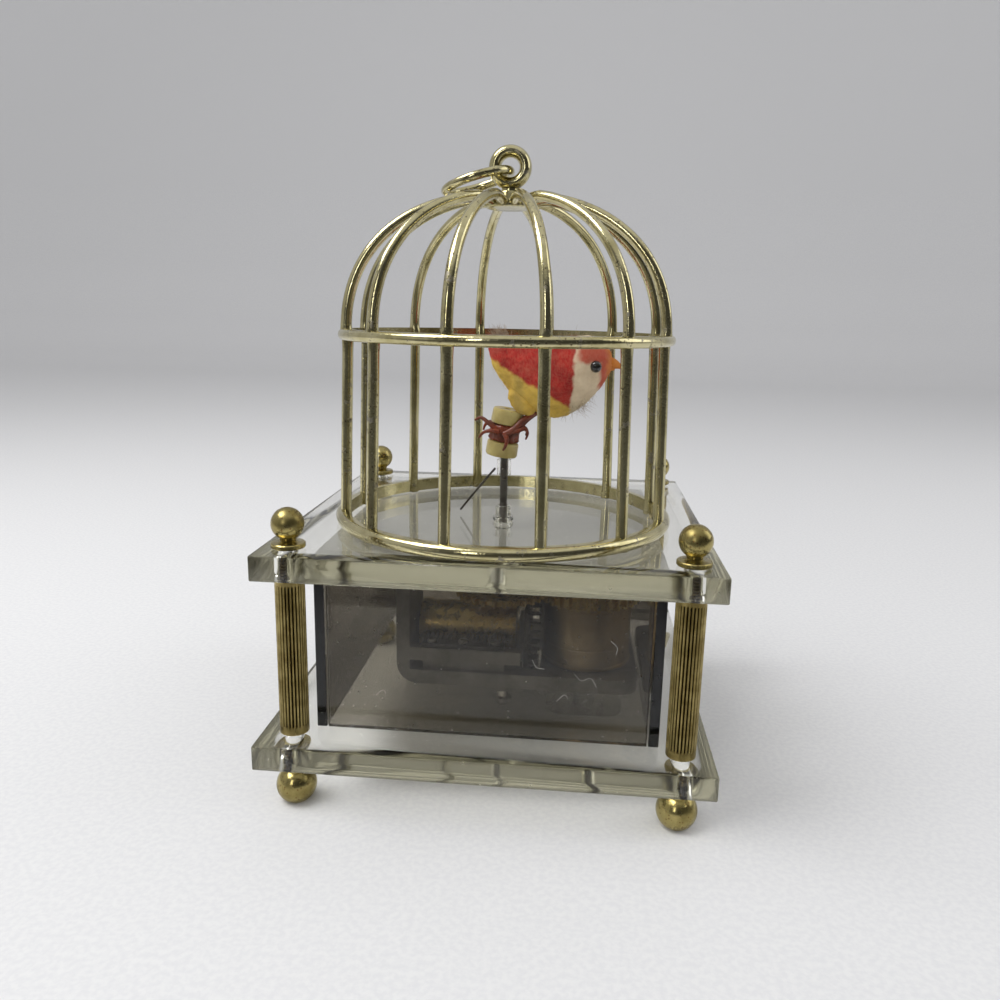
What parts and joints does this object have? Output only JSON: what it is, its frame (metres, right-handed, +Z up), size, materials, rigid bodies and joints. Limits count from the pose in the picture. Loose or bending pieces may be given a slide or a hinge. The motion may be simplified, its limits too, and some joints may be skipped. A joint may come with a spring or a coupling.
{
  "type": "birdcage music box",
  "caption": "Wind-up music box: clear plates on fluted brass columns round a smoked movement box, with a domed wire cage and a small bird that turns on a spindle.",
  "frame": {"origin": "on the resting plane, at the middle of the footprint of the clear plates", "axes": "+Z up along the bird's spindle, +X to the right as the bird faces it, +Y from the front to the back"},
  "size_m": [0.0892, 0.0916, 0.1313],
  "materials": {
    "clear_acrylic": "clear polished acrylic with a faint yellow edge",
    "smoked_acrylic": "smoked brown-grey clear acrylic",
    "aged_brass": "aged brass, dark in the flutes",
    "polished_brass": "worn polished brass",
    "champagne_plate": "pale gold plate, shiny, pitted in places",
    "steel": "bright steel",
    "dark_steel": "dark steel",
    "perch_plastic": "pale yellow translucent plastic",
    "red_brown_plastic": "red-brown moulded plastic",
    "red_flock": "dyed cotton flock, red above and yellow below",
    "cream_flock": "cream cotton flock with a red cap and orange beak",
    "brown_tuft": "loose brown fibres",
    "black_glass": "glossy black bead",
    "cast_zinc": "grey die casting",
    "spring_barrel": "coppery plated barrel",
    "wheel_brass": "plain brass"
  },
  "bodies": {
    "base": {"bottom_plate": "clear_acrylic", "top_plate": "clear_acrylic", "spindle_bush": "clear_acrylic", "smoked_front": "smoked_acrylic", "smoked_back": "smoked_acrylic", "smoked_left": "smoked_acrylic", "smoked_right": "smoked_acrylic", "smoked_top": "smoked_acrylic", "column_front_left": "aged_brass", "column_front_right": "aged_brass", "column_back_left": "aged_brass", "column_back_right": "aged_brass", "foot_front_left": "polished_brass", "foot_front_right": "polished_brass", "foot_back_left": "polished_brass", "foot_back_right": "polished_brass", "finial_front_left": "polished_brass", "finial_front_right": "polished_brass", "finial_back_left": "polished_brass", "finial_back_right": "polished_brass", "cage_base_hoop": "champagne_plate", "cage_middle_hoop": "champagne_plate", "cage_crown": "champagne_plate", "cage_bar_01": "champagne_plate", "cage_bar_02": "champagne_plate", "cage_bar_03": "champagne_plate", "cage_bar_04": "champagne_plate", "cage_bar_05": "champagne_plate", "cage_bar_06": "champagne_plate", "cage_bar_07": "champagne_plate", "cage_bar_08": "champagne_plate", "cage_bar_09": "champagne_plate", "cage_bar_10": "champagne_plate", "cage_bar_11": "champagne_plate", "cage_bar_12": "champagne_plate", "bedplate_screw_front": "steel", "bedplate_screw_back": "steel", "comb": "dark_steel", "bedplate": "cast_zinc"},
    "drum": {"spring_drum": "spring_barrel", "drum_wheel": "wheel_brass", "mainspring": "dark_steel"},
    "bird": {"spindle_rod": "dark_steel", "spindle_wheel": "wheel_brass", "clear_sleeve": "clear_acrylic", "steel_wire": "dark_steel", "perch_spool": "perch_plastic", "bird_feet": "red_brown_plastic", "bird_body": "red_flock", "bird_head": "cream_flock", "bird_tail": "brown_tuft", "bird_eye_left": "black_glass", "bird_eye_right": "black_glass"},
    "cylinder": {"tune_cylinder": "wheel_brass", "cylinder_wheel": "dark_steel"},
    "governor": {"governor_wheel": "wheel_brass"},
    "fan": {"fan_worm": "dark_steel"},
    "key": {"winding_key": "steel", "winding_arbor": "dark_steel"},
    "ring": {"hanging_ring": "champagne_plate"}
  },
  "joints": [
    {"name": "drum_spin", "type": "hinge", "parent": "base", "child": "drum", "pos_m": [0.02, -0.002, 0.03], "axis": [0, 0, 1], "continuous": true},
    {"name": "bird_turn", "type": "hinge", "parent": "base", "child": "bird", "pos_m": [0.0004, -0.0095, 0.06], "axis": [0, 0, 1], "continuous": true},
    {"name": "cylinder_spin", "type": "hinge", "parent": "base", "child": "cylinder", "pos_m": [0, -0.002, 0.02585], "axis": [1, 0, 0], "continuous": true},
    {"name": "governor_spin", "type": "hinge", "parent": "base", "child": "governor", "pos_m": [0.01501, 0.0117, 0.03], "axis": [0, 0, 1], "continuous": true},
    {"name": "fan_spin", "type": "hinge", "parent": "base", "child": "fan", "pos_m": [0.015, 0.01797, 0.0391], "axis": [1, 0, 0], "continuous": true},
    {"name": "key_wind", "type": "hinge", "parent": "base", "child": "key", "pos_m": [0.02, -0.002, 0.01], "axis": [0, 0, 1], "continuous": true},
    {"name": "ring_swing", "type": "hinge", "parent": "base", "child": "ring", "pos_m": [0.0002, -0.0073, 0.12624], "axis": [0, 1, 0], "range_deg": [0, 216]}
  ],
  "couplings": [
    {"joint": "bird_turn", "follows": "drum_spin", "ratio": -1.1852},
    {"joint": "cylinder_spin", "follows": "drum_spin", "ratio": 1.2308},
    {"joint": "governor_spin", "follows": "drum_spin", "ratio": -3.5556},
    {"joint": "fan_spin", "follows": "drum_spin", "ratio": -28.444}
  ]
}
